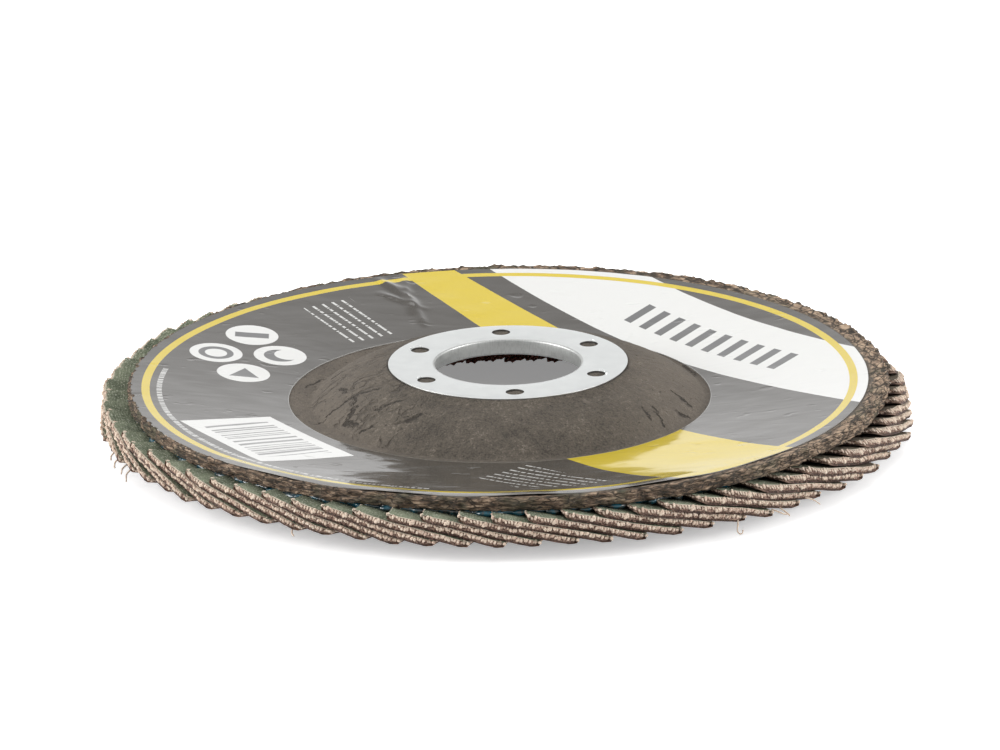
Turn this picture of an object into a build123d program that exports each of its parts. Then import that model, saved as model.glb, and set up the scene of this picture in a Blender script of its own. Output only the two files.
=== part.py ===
from build123d import *

import math
import os

# Conical flap disc for an angle grinder: overlapping flaps of abrasive cloth, bonded in a fan under a
# pressed laminate plate whose raised hub carries a steel bore ring. It lies with its flaps down, +Z is
# the grinder's side, and the origin is on the bore's axis in the plane that the lowest flap corners rest
# on. All sizes are in millimetres, and all angles in degrees.

# Flaps: rectangles of coated cloth, each leaning on the next
DISC_DIAMETER = 124.5          # across the flaps' outer corners
FLAP_COUNT = 72
FLAP_LENGTH = 25.4             # along the radius
FLAP_WIDTH = 18.0              # across the radius
FLAP_THICKNESS = 0.58
EDGE_SWELL = 0.3               # what the outer edge gains below, where the cut threads open
FLAP_SPACING = 0.03            # least gap between neighbours, where they crowd at their inner ends
FLAP_TURN = 1.4                # angle of the first flap's middle line
FLAPS_PER_NODE = 2             # files are fewer than flaps, so neighbours share one

# Backing plate: layers of glass cloth in resin, pressed to a shallow cone with a raised hub
PLATE_THICKNESS = 1.8
FLAP_OVERHANG = 4.75           # how far the flaps reach past the plate's rim
CONE_ANGLE = 6.5               # how far the plate's working zone rises towards its rim
HUB_FOOT_RADIUS = 29.9         # where the hub's flank meets the cone
HUB_RISE = 5.2                 # from the cone at the hub's foot to the seat of the bore ring
HUB_BULGE = 1.1                # how far the hub's flank swells past a straight line

# Bore ring: a flanged bush pressed from steel sheet
BORE_DIAMETER = 22.23
FLANGE_DIAMETER = 36.4
FLANGE_OVERHANG = 0.2          # how far the flange reaches past its flat seat on the hub
SHEET_THICKNESS = 0.7          # of the flange and the neck
MOUTH_CHAMFER = 0.3            # at the bore's upper edge
CLINCH = 0.45                  # how far the neck's end flares out under the laminate
KEY_HOLE_COUNT = 6
KEY_HOLE_DIAMETER = 2.8
KEY_HOLE_CIRCLE = 29.75        # diameter of the circle that the key holes lie on
KEY_HOLE_TURN = 33.75          # angle of the first key hole

# Adhesive bed: cured resin between the plate and the flaps' upper edges
ADHESIVE_FILM = 0.12           # least thickness, over a flap's upper edge
ADHESIVE_DEPTH = 0.6           # where it fills the notches between the flaps
ADHESIVE_INNER_RADIUS = 38.5
ADHESIVE_MARGIN = 0.4          # how far it stops short of the plate's rim

# Label: a printed ring glued to the plate a little off centre
LABEL_THICKNESS = 0.12
LABEL_SHIFT = -1.32            # along X
LABEL_RIM_MARGIN = 0.18        # to the plate's rim, where they come nearest
LABEL_HUB_MARGIN = 0.83        # to the hub's foot, where they come nearest

PLATE_RADIUS = DISC_DIAMETER / 2 - FLAP_OVERHANG
BORE_RADIUS = BORE_DIAMETER / 2
FLANGE_RADIUS = FLANGE_DIAMETER / 2
NECK_RADIUS = BORE_RADIUS + SHEET_THICKNESS
CONE_SLOPE = math.tan(math.radians(CONE_ANGLE))
PITCH = math.radians(360 / FLAP_COUNT)
FLAPS_ACROSS = math.ceil(FLAP_WIDTH / (ADHESIVE_INNER_RADIUS * PITCH))  # that reach over one pitch of the bed


def flap_axes(lean):
    """Unit vectors along a flap's length, across it, and out of its upper face."""
    along = Vector(1, 0, CONE_SLOPE).normalized()
    out = Vector(-CONE_SLOPE, lean, 1).normalized()
    return along, out.cross(along), out


def middle_radius(lean):
    """How far from the bore's axis a flap's middle lies, so that its outer corner is on the disc's edge."""
    along, across, out = flap_axes(lean)
    corner = along * (FLAP_LENGTH / 2) + across * (FLAP_WIDTH / 2) - out * (FLAP_THICKNESS / 2 + EDGE_SWELL)
    return math.sqrt((DISC_DIAMETER / 2) ** 2 - corner.Y**2) - corner.X


def flap_lean():
    """The slope across a flap with which its neighbour just clears it, at that neighbour's inner corner."""
    lean = 0.0
    for _ in range(20):
        along, across, out = flap_axes(lean)
        inner_end = middle_radius(lean) - FLAP_LENGTH / 2 * along.X
        corner_x = inner_end * math.cos(PITCH) + FLAP_WIDTH / 2 * math.sin(PITCH)
        corner_y = inner_end * math.sin(PITCH) - FLAP_WIDTH / 2 * math.cos(PITCH)
        rise_needed = (FLAP_THICKNESS + FLAP_SPACING) / out.Z
        rise_of_cone = CONE_SLOPE * (math.sin(PITCH) * corner_y - (1 - math.cos(PITCH)) * corner_x)
        rise_per_lean = math.sin(PITCH) * corner_x + (1 - math.cos(PITCH)) * corner_y
        lean = (rise_needed - rise_of_cone) / rise_per_lean
    return lean


LEAN = flap_lean()
ALONG, ACROSS, OUT = flap_axes(LEAN)
LOWEST_CORNER = ACROSS * (FLAP_WIDTH / 2) - ALONG * (FLAP_LENGTH / 2) - OUT * (FLAP_THICKNESS / 2)
FLAP_MIDDLE = Vector(middle_radius(LEAN), 0, -LOWEST_CORNER.Z)


def underside_height(radius):
    """Height of the plate's lower face, which clears the flaps' upper edges by the adhesive's film."""
    edge = FLAP_MIDDLE - ACROSS * (FLAP_WIDTH / 2) + OUT * (FLAP_THICKNESS / 2)
    reach = (math.sqrt(PLATE_RADIUS**2 - edge.Y**2) - edge.X) / ALONG.X
    return edge.Z + reach * ALONG.Z + ADHESIVE_FILM + CONE_SLOPE * (radius - PLATE_RADIUS)


LAMINATE_HEIGHT = PLATE_THICKNESS / math.cos(math.radians(CONE_ANGLE))  # measured upright
SEAT_HEIGHT = underside_height(HUB_FOOT_RADIUS) + LAMINATE_HEIGHT + HUB_RISE
FACE_HEIGHT = SEAT_HEIGHT + SHEET_THICKNESS
SEAT_RADIUS = FLANGE_RADIUS - FLANGE_OVERHANG
NECK_END = SEAT_HEIGHT - LAMINATE_HEIGHT  # flush with the laminate's lower face


def turned(points):
    """Turns an outline of (radius, height) points once round the bore's axis."""
    outline = Polyline([Vector(radius, 0, height) for radius, height in points], close=True)
    return revolve(make_face(outline), Axis.Z)


def cone_band(inner_radius, outer_radius, low, high):
    """A conical band between two heights above the plate's lower face, measured upright."""
    inner, outer = underside_height(inner_radius), underside_height(outer_radius)
    return turned(
        [
            (inner_radius, inner + low),
            (outer_radius, outer + low),
            (outer_radius, outer + high),
            (inner_radius, inner + high),
        ]
    )


def laminate():
    """The plate as it leaves the press: one curve for both faces, the lower a thickness below."""
    foot = Vector(HUB_FOOT_RADIUS, 0, underside_height(HUB_FOOT_RADIUS) + LAMINATE_HEIGHT)
    rim = Vector(PLATE_RADIUS, 0, underside_height(PLATE_RADIUS) + LAMINATE_HEIGHT)
    seat = Vector(SEAT_RADIUS, 0, SEAT_HEIGHT)
    mouth = Vector(NECK_RADIUS, 0, SEAT_HEIGHT)
    crown = (seat + foot) / 2 + Vector(seat.Z - foot.Z, 0, foot.X - seat.X).normalized() * HUB_BULGE
    down = Vector(0, 0, -LAMINATE_HEIGHT)

    outline = [Line(rim, rim + down), Line(mouth, mouth + down)]
    for shift in (Vector(0, 0, 0), down):
        outline.append(Line(mouth + shift, seat + shift))
        outline.append(ThreePointArc(seat + shift, crown + shift, foot + shift))
        outline.append(Line(foot + shift, rim + shift))
    return revolve(make_face(outline), Axis.Z)


def upright(radius, height):
    return Cylinder(radius, height, align=(Align.CENTER, Align.CENTER, Align.MIN))


def bush_blank():
    """The bush before its key holes are punched: flange, neck, and the neck's flared end."""
    return turned(
        [
            (FLANGE_RADIUS, FACE_HEIGHT),
            (FLANGE_RADIUS, SEAT_HEIGHT),
            (NECK_RADIUS, SEAT_HEIGHT),
            (NECK_RADIUS, NECK_END + CLINCH),
            (NECK_RADIUS + CLINCH, NECK_END),
            (BORE_RADIUS + CLINCH, NECK_END),
            (BORE_RADIUS, NECK_END + CLINCH),
            (BORE_RADIUS, FACE_HEIGHT - MOUTH_CHAMFER),
            (BORE_RADIUS + MOUTH_CHAMFER, FACE_HEIGHT),
        ]
    )


def bore_ring(blank):
    places = PolarLocations(KEY_HOLE_CIRCLE / 2, KEY_HOLE_COUNT, start_angle=KEY_HOLE_TURN)
    punch = upright(KEY_HOLE_DIAMETER / 2, SHEET_THICKNESS)
    return blank - [Pos(0, 0, SEAT_HEIGHT) * place * punch for place in places]


def flap(index):
    """A slab of cloth, seen edge on with its inner end on the left, and given its width."""
    half_length, half_thickness = FLAP_LENGTH / 2, FLAP_THICKNESS / 2
    edge = Polyline(
        [
            (-half_length, half_thickness),
            (-half_length, -half_thickness),
            (half_length, -half_thickness - EDGE_SWELL),
            (half_length, half_thickness),
        ],
        close=True,
    )
    middle = Plane(origin=FLAP_MIDDLE, x_dir=ALONG, z_dir=-ACROSS)
    slab = extrude(middle * make_face(edge), FLAP_WIDTH / 2, both=True)
    return Rot(0, 0, FLAP_TURN + math.degrees(PITCH) * index) * slab


def adhesive_bed():
    """The film under the plate, with a rib in each notch between two flaps: one flat facet per flap."""
    inner, outer = ADHESIVE_INNER_RADIUS, PLATE_RADIUS - ADHESIVE_MARGIN
    section = Polyline(
        [
            Vector(inner, 0, underside_height(inner)),
            Vector(outer, 0, underside_height(outer)),
            Vector(outer, 0, underside_height(outer) - ADHESIVE_DEPTH),
            Vector(inner, 0, underside_height(inner) - ADHESIVE_DEPTH),
        ],
        close=True,
    )
    half_width = PLATE_RADIUS * math.tan(PITCH / 2)
    wedge = make_face(Polyline([(0, 0), (PLATE_RADIUS, -half_width), (PLATE_RADIUS, half_width)], close=True))
    facet = extrude(make_face(section), half_width, both=True) & extrude(wedge, FACE_HEIGHT)
    facet -= [flap(index) for index in range(-FLAPS_ACROSS, FLAPS_ACROSS + 1)]
    return Part() + [Rot(0, 0, math.degrees(PITCH) * index) * facet for index in range(FLAP_COUNT)]


def label():
    inner, outer = HUB_FOOT_RADIUS + LABEL_HUB_MARGIN, PLATE_RADIUS - LABEL_RIM_MARGIN
    radius, hole_radius = outer - abs(LABEL_SHIFT), inner + abs(LABEL_SHIFT)
    film = cone_band(inner, outer, LAMINATE_HEIGHT, LAMINATE_HEIGHT + LABEL_THICKNESS)
    cutter = Pos(LABEL_SHIFT, 0, 0) * (upright(radius, FACE_HEIGHT) - upright(hole_radius, FACE_HEIGHT))
    return film & cutter


def main():
    os.makedirs("parts", exist_ok=True)
    flaps = [flap(index) for index in range(FLAP_COUNT)]
    bush = bush_blank()
    export_step(laminate() - bush, "parts/backing_plate.step")
    export_step(bore_ring(bush), "parts/bore_ring.step")
    export_step(adhesive_bed(), "parts/adhesive_bed.step")
    export_step(label(), "parts/label.step")
    for node, first in enumerate(range(0, FLAP_COUNT, FLAPS_PER_NODE), start=1):
        group = Compound(children=flaps[first : first + FLAPS_PER_NODE])
        export_step(group, f"parts/flaps_{node:02d}.step")


main()
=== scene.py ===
import math

import bmesh
import bpy
import numpy as np
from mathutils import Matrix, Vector, noise


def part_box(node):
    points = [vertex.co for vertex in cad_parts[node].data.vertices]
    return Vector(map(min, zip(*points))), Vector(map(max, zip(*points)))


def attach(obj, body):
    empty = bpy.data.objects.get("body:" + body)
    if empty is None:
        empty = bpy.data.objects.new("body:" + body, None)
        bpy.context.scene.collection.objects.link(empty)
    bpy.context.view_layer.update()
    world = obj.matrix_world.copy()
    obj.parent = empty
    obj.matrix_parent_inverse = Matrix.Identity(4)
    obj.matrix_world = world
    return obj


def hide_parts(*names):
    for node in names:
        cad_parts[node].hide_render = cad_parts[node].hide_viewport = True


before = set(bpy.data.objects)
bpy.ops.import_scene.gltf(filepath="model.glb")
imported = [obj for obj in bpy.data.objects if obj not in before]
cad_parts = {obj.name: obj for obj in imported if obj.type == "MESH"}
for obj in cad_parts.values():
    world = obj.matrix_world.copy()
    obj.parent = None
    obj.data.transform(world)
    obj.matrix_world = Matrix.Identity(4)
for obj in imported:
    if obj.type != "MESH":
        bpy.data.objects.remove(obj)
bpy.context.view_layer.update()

# The camera stands nearly two metres off and looks down on the disc at 18 degrees. Its long lens keeps
# the far and near rims almost the same size.
CAMERA_PLACE = (0.0, -1.90212, 0.62364)
CAMERA_TURN = (72.1005, 0.9284, -0.2627)
CAMERA_LENS_MM = 473.8

camera_data = bpy.data.cameras.new("camera")
camera_data.lens = CAMERA_LENS_MM
camera_data.sensor_width = 36.0
camera = bpy.data.objects.new("camera", camera_data)
camera.location = CAMERA_PLACE
camera.rotation_euler = [math.radians(angle) for angle in CAMERA_TURN]
bpy.context.scene.collection.objects.link(camera)
bpy.context.scene.camera = camera

# Backing plate: layers of glass cloth in phenolic resin, pressed between hot dies to a shallow cone with
# a domed hub. The press squeezes resin and loose fibres out past the rim, where they set in ragged lumps.
MM = 0.001
CONE_SLOPE = math.tan(math.radians(6.5))
PLATE_RADIUS = 57.5
PLATE_RISE = 1.812             # upright thickness of the laminate
LIP_RADII = (18.26, 20.2)      # resin that the press drove up round the bore ring's flange
LIP_RISE = 0.56
DISH = 0.34                    # how far the cone sags between hub and rim on the front side
DISH_FRONT = (26.0, 38.0)      # how far forward the sag starts, and where it is full
DISH_END = 55.4                # radius at which it ends
HUB_FOOT = 29.9
HUB_BULGE = 1.1
SEAT_RADIUS = 18.0
NECK_RADIUS = 11.815
RIM_PATH = 58.0                # radius at which noise is followed round the rim
RIM_CREST = 56.5               # radius beyond which the squeezed-out resin also stands up
RIM_LUMPS = 0.42               # how far the squeezed-out resin stands proud of the trimmed rim
GLASS_YARN = 2.4               # pitch of the woven glass that shows through underneath
RESIN_BROWN = (0.092, 0.077, 0.060, 1)
RESIN_DARK = (0.030, 0.024, 0.018, 1)
RESIN_DUST_AND_SHEEN = (0.235, 0.20, 0.165, 1)
RIM_RUST = (0.185, 0.125, 0.084, 1)
RIM_TAN = (0.50, 0.37, 0.26, 1)
RIM_OLIVE = (0.085, 0.083, 0.052, 1)
DUST_PALE = (0.62, 0.60, 0.55, 1)
TEARS = (                      # start and end of each tear in the hub's skin, and its width
    ((-31.0, 6.5), (-28.3, 10.8), 0.22), ((-28.3, 10.8), (-24.0, 13.6), 0.14),
    ((-26.7, 5.2), (-24.9, 6.1), 0.34), ((-27.6, -9.3), (-25.2, -9.0), 0.22),
    ((-25.2, -9.0), (-22.9, -8.0), 0.34), ((-22.9, -8.0), (-19.3, -8.5), 0.28),
    ((-23.1, -8.7), (-23.5, -10.6), 0.40), ((-23.2, -11.8), (-24.1, -13.4), 0.62),
    ((-24.6, -14.2), (-23.2, -15.9), 0.60), ((-25.2, -3.3), (-24.6, -5.5), 0.36),
    ((-20.2, -14.8), (-15.7, -14.2), 0.20), ((-22.5, -18.2), (-20.6, -18.1), 0.24),
    ((-29.4, -11.4), (-27.8, -10.0), 0.16), ((-15.4, -20.0), (-13.2, -19.3), 0.36),
    ((25.1, -6.9), (27.5, -8.4), 0.34), ((26.8, 14.7), (28.8, 10.1), 0.22),
    ((25.6, -12.2), (27.0, -11.6), 0.30), ((21.9, -13.9), (23.6, -17.4), 0.26),
    ((20.2, -15.4), (21.4, -17.2), 0.22),
)
plate_low, plate_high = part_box("backing_plate")
SEAT_HEIGHT = plate_high.z / MM
FOOT_HEIGHT = plate_low.z / MM + PLATE_RISE


def ramp(value, low, high):
    """0 up to low, 1 from high on, and an even slope in between."""
    return max(0.0, min(1.0, (value - low) / (high - low)))


def plate_top(radius):
    """Height of the plate's upper face: flat seat, domed flank, then the cone."""
    if radius >= HUB_FOOT:
        return FOOT_HEIGHT + CONE_SLOPE * (radius - HUB_FOOT)
    if radius <= SEAT_RADIUS:
        return SEAT_HEIGHT
    run, drop = HUB_FOOT - SEAT_RADIUS, FOOT_HEIGHT - SEAT_HEIGHT
    chord = math.hypot(run, drop)
    arc_radius = (chord**2 / 4 + HUB_BULGE**2) / (2 * HUB_BULGE)
    sink = (arc_radius - HUB_BULGE) / chord
    centre_x = (SEAT_RADIUS + HUB_FOOT) / 2 + drop * sink
    centre_z = (SEAT_HEIGHT + FOOT_HEIGHT) / 2 - run * sink
    return centre_z + math.sqrt(max(arc_radius**2 - (radius - centre_x) ** 2, 0))


def sag(x, y):
    """How far the cone lies below its true shape."""
    way_out = ramp(math.hypot(x, y), HUB_FOOT, DISH_END)
    return DISH * ramp(-y, *DISH_FRONT) * math.sin(math.pi * way_out)


def rough(x, y, z, scale, seed, octaves=3):
    """Smooth noise of about -1 to 1, with features about one scale across, in millimetres."""
    return noise.fractal(Vector((x / scale + seed, y / scale - seed, z / scale + 2 * seed)), 0.6, 2.0, octaves)


def rough_round(angle, height, scale, seed, octaves):
    """The same noise followed round the rim, where it meets itself."""
    return rough(RIM_PATH * math.cos(angle), RIM_PATH * math.sin(angle), height, scale, seed, octaves)


def mesh_object(name, vertices, faces):
    mesh = bpy.data.meshes.new(name)
    mesh.from_pydata([(x * MM, y * MM, z * MM) for x, y, z in vertices], [], faces)
    mesh.polygons.foreach_set("use_smooth", [True] * len(faces))
    mesh.update()
    made = bpy.data.objects.new(name, mesh)
    bpy.context.scene.collection.objects.link(made)
    return made


def turned_mesh(name, section, columns):
    """A closed section, which may change with the angle, turned once round the bore's axis."""
    sections = [section(2 * math.pi * column / columns) for column in range(columns)]
    rows = len(sections[0])
    faces = []
    for column in range(columns):
        here, after = column * rows, (column + 1) % columns * rows
        for row in range(rows):
            below = (row + 1) % rows
            faces.append((here + row, here + below, after + below, after + row))
    return mesh_object(name, [point for points in sections for point in points], faces)


class Wiring:
    """Adds nodes to one tree and joins them up. Lengths in it are millimetres."""

    def __init__(self, tree):
        self.tree = tree

    def node(self, kind, settings=None, **inputs):
        """A new node. An input is named with _ for a space, or i0, i1... by its place."""
        made = self.tree.nodes.new(kind)
        for name, value in (settings or {}).items():
            setattr(made, name, value)
        for name, value in inputs.items():
            by_place = name[0] == "i" and name[1:].isdigit()
            self.join(value, made.inputs[int(name[1:]) if by_place else name.replace("_", " ")])
        return made

    def join(self, value, socket):
        if isinstance(value, bpy.types.NodeSocket):
            self.tree.links.new(value, socket)
        else:
            socket.default_value = value

    def math(self, operation, *values, clamp=False):
        places = {f"i{index}": value for index, value in enumerate(values)}
        return self.node("ShaderNodeMath", {"operation": operation, "use_clamp": clamp}, **places).outputs[0]

    def times(self, first, *others):
        """The product of two or more numbers."""
        for other in others:
            first = self.math("MULTIPLY", first, other)
        return first

    def times_add(self, value, factor, base):
        """A number times a factor, added to a base."""
        return self.math("MULTIPLY_ADD", value, factor, base)

    def vector(self, operation, *values, output="Vector"):
        places = {f"i{index}": value for index, value in enumerate(values)}
        return self.node("ShaderNodeVectorMath", {"operation": operation}, **places).outputs[output]

    def dot(self, first, second):
        return self.vector("DOT_PRODUCT", first, second, output="Value")

    def length(self, value):
        return self.vector("LENGTH", value, output="Value")

    def scale(self, value, factor):
        return self.node("ShaderNodeVectorMath", {"operation": "SCALE"}, i0=value, Scale=factor).outputs[0]

    def flat(self, place):
        """The place seen from above: its X and Y, and no height."""
        return self.vector("MULTIPLY", place, (1.0, 1.0, 0.0))

    def combine(self, x=0.0, y=0.0, z=0.0):
        return self.node("ShaderNodeCombineXYZ", None, X=x, Y=y, Z=z).outputs[0]

    def separate(self, value):
        return self.node("ShaderNodeSeparateXYZ", None, i0=value).outputs

    def group(self, tree, **inputs):
        """The outputs of a node group, placed here with its own values."""
        return self.node("ShaderNodeGroup", {"node_tree": tree}, **inputs).outputs

    def stored(self, name):
        """A value that the mesh carries on its points, in its several forms."""
        return self.node("ShaderNodeAttribute", {"attribute_name": name}).outputs

    def facing_up(self):
        """How far the surface faces upwards, from -1 to 1."""
        return self.separate(self.node("ShaderNodeNewGeometry").outputs["True Normal"])[2]

    def mix(self, share, first, second):
        return self.node("ShaderNodeMix", {"data_type": "RGBA"}, i0=share, i6=first, i7=second).outputs[2]

    def layered(self, colour, *layers):
        """Lays more colours over the first, each where its mask is."""
        for share, over in layers:
            colour = self.mix(share, colour, over)
        return colour

    def step(self, value, low, high, to_low=0.0, to_high=1.0):
        """Eases from to_low at low to to_high at high, and stays level beyond them."""
        ranges = {"From Min": low, "From Max": high, "To Min": to_low, "To Max": to_high}
        made = self.node("ShaderNodeMapRange", {"interpolation_type": "SMOOTHSTEP"}, Value=value)
        for name, number in ranges.items():
            self.join(number, made.inputs[name])
        return made.outputs[0]

    def noise(self, place, size, detail=3.0, roughness=0.6, distortion=0.0):
        """Cloudy noise of 0 to 1, with features about one size across."""
        shape = {"Detail": detail, "Roughness": roughness, "Distortion": distortion}
        return self.node("ShaderNodeTexNoise", None, Vector=place, Scale=1 / size, **shape).outputs[0]

    def noise_vector(self, place, scale, detail=2.0, roughness=0.5):
        """Cloudy noise with three parts of 0 to 1, to push a place about."""
        shape = {"Detail": detail, "Roughness": roughness}
        return self.node("ShaderNodeTexNoise", None, Vector=place, Scale=scale, **shape).outputs["Color"]

    def noise_along(self, distance, scale, detail):
        """Noise of 0 to 1 along one distance, for uneven bars and gaps."""
        shape = {"W": distance, "Scale": scale, "Detail": detail}
        return self.node("ShaderNodeTexNoise", {"noise_dimensions": "1D"}, **shape).outputs[0]

    def cracks(self, place, size):
        """Distance to the nearest wall of an irregular net, in shares of its cells."""
        made = self.node("ShaderNodeTexVoronoi", {"feature": "DISTANCE_TO_EDGE"}, Vector=place, Scale=1 / size)
        return made.outputs["Distance"]

    def bump(self, height, shader):
        """Turns a height in millimetres into the shader's normal."""
        made = self.node("ShaderNodeBump", None, Strength=1.0, Distance=MM, Height=height)
        self.join(made.outputs[0], shader.inputs["Normal"])


def start_material(name, **plain):
    """A material with its plain shader values set, its wiring, and the place on the part in millimetres."""
    material = bpy.data.materials.new(name)
    material.use_nodes = True
    wires = Wiring(material.node_tree)
    shader = material.node_tree.nodes["Principled BSDF"]
    for socket, value in plain.items():
        shader.inputs[socket.replace("_", " ")].default_value = value
    here = wires.node("ShaderNodeTexCoord").outputs["Object"]
    place = wires.vector("MULTIPLY", here, (1 / MM, 1 / MM, 1 / MM))
    return material, wires, shader, place


ORIGIN = (0.0, 0.0, 0.0)


def start_group(name, inputs, outputs):
    """A shader node group with its named sockets: its wiring, its inputs by name, and its end node."""
    group = bpy.data.node_groups.new(name, "ShaderNodeTree")
    kinds = {float: "NodeSocketFloat", tuple: "NodeSocketVector"}
    for socket_name, value in inputs.items():
        socket = group.interface.new_socket(socket_name, in_out="INPUT", socket_type=kinds[type(value)])
        socket.default_value = value
    for socket_name in outputs:
        group.interface.new_socket(socket_name, in_out="OUTPUT", socket_type="NodeSocketFloat")
    wires = Wiring(group)
    return group, wires, wires.node("NodeGroupInput").outputs, wires.node("NodeGroupOutput").inputs


# Rough resin: mottled shade and a pitted height, from clouds of four sizes
rough_resin, wires, given, result = start_group(
    "rough_resin", {"Place": ORIGIN, "Size": 1.0, "Depth": 0.1}, ("Mottle", "Pits", "Height")
)
sized = wires.vector("DIVIDE", given["Place"], given["Size"])
broad = wires.noise(sized, 6.0, 3.0, 0.55)
fine = wires.noise(sized, 0.9, 4.0, 0.65)
pits = wires.step(wires.noise(sized, 0.55, 2.0, 0.5), 0.66, 0.74)
mottle = wires.times_add(broad, 0.25, wires.times(fine, 0.30))
grain = wires.noise(sized, 0.28, 2.0, 0.7)
height = wires.times_add(grain, 0.7, wires.math("SUBTRACT", fine, pits))
wires.join(wires.times_add(grain, 0.45, mottle), result["Mottle"])
wires.join(pits, result["Pits"])
wires.join(wires.times(height, given["Depth"]), result["Height"])

# Tear: how near a place is to the middle of a ragged tear from one point to another
tear_in_skin, wires, given, result = start_group(
    "tear_in_skin", {"Place": ORIGIN, "From": ORIGIN, "To": (1.0, 0.0, 0.0), "Width": 0.3}, ("Depth",)
)
reach = wires.vector("SUBTRACT", given["To"], given["From"])
leg = wires.vector("SUBTRACT", given["Place"], given["From"])
share = wires.math("DIVIDE", wires.dot(leg, reach), wires.dot(reach, reach), clamp=True)
aside = wires.vector("SUBTRACT", leg, wires.scale(reach, share))
away = wires.math("DIVIDE", wires.length(aside), given["Width"])
wires.join(wires.step(away, 1.0, 0.35), result["Depth"])

# Dust: the small pale specks of workshop dust, scattered over every face
dust_specks, wires, given, result = start_group("dust_specks", {"Place": ORIGIN, "Amount": 0.5}, ("Specks",))
grains = wires.node("ShaderNodeTexVoronoi", None, Vector=given["Place"], Scale=0.55, Randomness=1.0)
size = wires.times(wires.node("ShaderNodeSeparateColor", None, i0=grains.outputs["Color"]).outputs[0], 0.11)
size = wires.times(wires.math("SUBTRACT", size, 0.055), given["Amount"])
wires.join(wires.step(wires.math("SUBTRACT", size, grains.outputs["Distance"]), 0.0, 0.015), result["Specks"])

plate_radii = [NECK_RADIUS, SEAT_RADIUS - 1.5, LIP_RADII[0] - 0.03]
plate_radii += list(np.linspace(LIP_RADII[0], HUB_FOOT, 29))
plate_radii += [30.4, 31.2, 33.0, 36.0, 42.0, 48.0, 53.0, 54.5, 55.6, 56.3, 56.8, 57.1]
UNDER_STEP = 3                 # the face that the flaps and the nut cover has every third of these rings
RIM_STEPS = 17


def plate_section(angle):
    cos, sin = math.cos(angle), math.sin(angle)
    top = [(radius, plate_top(radius)) for radius in plate_radii]
    under = [(radius, height - PLATE_RISE) for radius, height in reversed(top[::UNDER_STEP])]
    edge = []
    for step in np.linspace(0, 1, RIM_STEPS):
        layer = RIM_PATH * step * 0.06
        lumps = rough_round(angle, layer, 1.9, 8, 4) + 0.5 * rough_round(angle, 3 * layer, 0.8, 9, 2)
        swell = RIM_LUMPS * (lumps + 0.25) * min(1, 6 * step + 0.25) - 0.25 * abs(2 * step - 1) ** 4
        hang = 0.08 + 0.22 * rough_round(angle, 0, 4.0, 14, 3)
        edge.append((PLATE_RADIUS + swell, plate_top(PLATE_RADIUS) - (PLATE_RISE + hang) * step))
    points = []
    for radius, height in top + edge + under:
        x, y = radius * cos, radius * sin
        if height > plate_top(radius) - 0.01:
            height -= sag(x, y)
        if LIP_RADII[0] <= radius and height > plate_top(radius) - DISH - 0.01:
            lip = 1 - ramp(radius, *LIP_RADII)
            height += LIP_RISE * lip**1.5 + 0.045 * rough(x, y, height, 1.3, 20, 4)
        if radius > RIM_CREST and height > plate_top(PLATE_RADIUS) - 0.6:
            height += min(1.0, radius - RIM_CREST) * (0.12 + 0.38 * rough(x, y, 0, 1.5, 23, 3))
        points.append((x, y, height))
    return points


plate = turned_mesh("plate_laminate", plate_section, 960)

laminate, wires, shader, place = start_material("pressed_laminate", Roughness=0.8, Specular_IOR_Level=0.35)
along_x, along_y, upwards = wires.separate(place)
flat_place = wires.flat(place)
radius = wires.length(flat_place)
turn = wires.math("ARCTAN2", along_x, wires.times(along_y, -1.0))  # joined up at the back
resin = wires.group(rough_resin, Place=place, Size=1.0, Depth=0.17)
specks = wires.group(dust_specks, Place=place, Amount=0.55)["Specks"]

# The hub's skin tore and wrinkled as it was pressed, deepest on one side
wander = wires.scale(wires.noise_vector(place, 0.22), 2.6)
down_flank = wires.combine(wires.times(turn, 13.0), wires.math("DIVIDE", radius, 5.5))
crack_width = wires.cracks(wires.vector("ADD", down_flank, wander), 1.15)
crack_patches = wires.step(wires.noise(place, 5.0, 2.0), 0.42, 0.62)
on_hub = wires.step(radius, HUB_FOOT + 0.6, HUB_FOOT - 0.6)
left_side = wires.step(along_x, -7.0, -17.0, 0.0, 0.5)
cracks = wires.times(wires.step(crack_width, 0.10, 0.02), crack_patches, on_hub, left_side)
ragged = wires.vector("SUBTRACT", wires.noise_vector(place, 0.8, 4.0, 0.75), (0.5, 0.5, 0.5))
ragged = wires.vector("MULTIPLY", ragged, (2.2, 2.2, 0.0))
ragged_place = wires.vector("ADD", flat_place, ragged)
for start, end, width in TEARS:
    tear_ends = {"From": (*start, 0.0), "To": (*end, 0.0), "Width": width}
    cracks = wires.math("MAXIMUM", cracks, wires.group(tear_in_skin, Place=ragged_place, **tear_ends)["Depth"])
cracks = wires.times(cracks, wires.step(wires.noise(place, 0.7, 2.0, 0.7), 0.36, 0.56, 0.35, 1.0))
down_strands = wires.combine(wires.times(turn, 26.0), wires.times(radius, 0.5), upwards)
strand_lines = wires.noise(down_strands, 0.9, 4.0, 0.7, 0.6)

# The rim: torn layers of resin and glass yarn, rust brown to tan, with olive stains
layers = wires.combine(wires.times(turn, 30.0), wires.times(upwards, 2.6), radius)
torn = wires.noise(layers, 1.1, 4.0, 0.65, 0.4)
stains = wires.noise(place, 5.0, 2.0, 0.5)
on_rim = wires.step(wires.times_add(wires.noise(place, 2.0), 2.4, radius), 55.9, 56.9)

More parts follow.
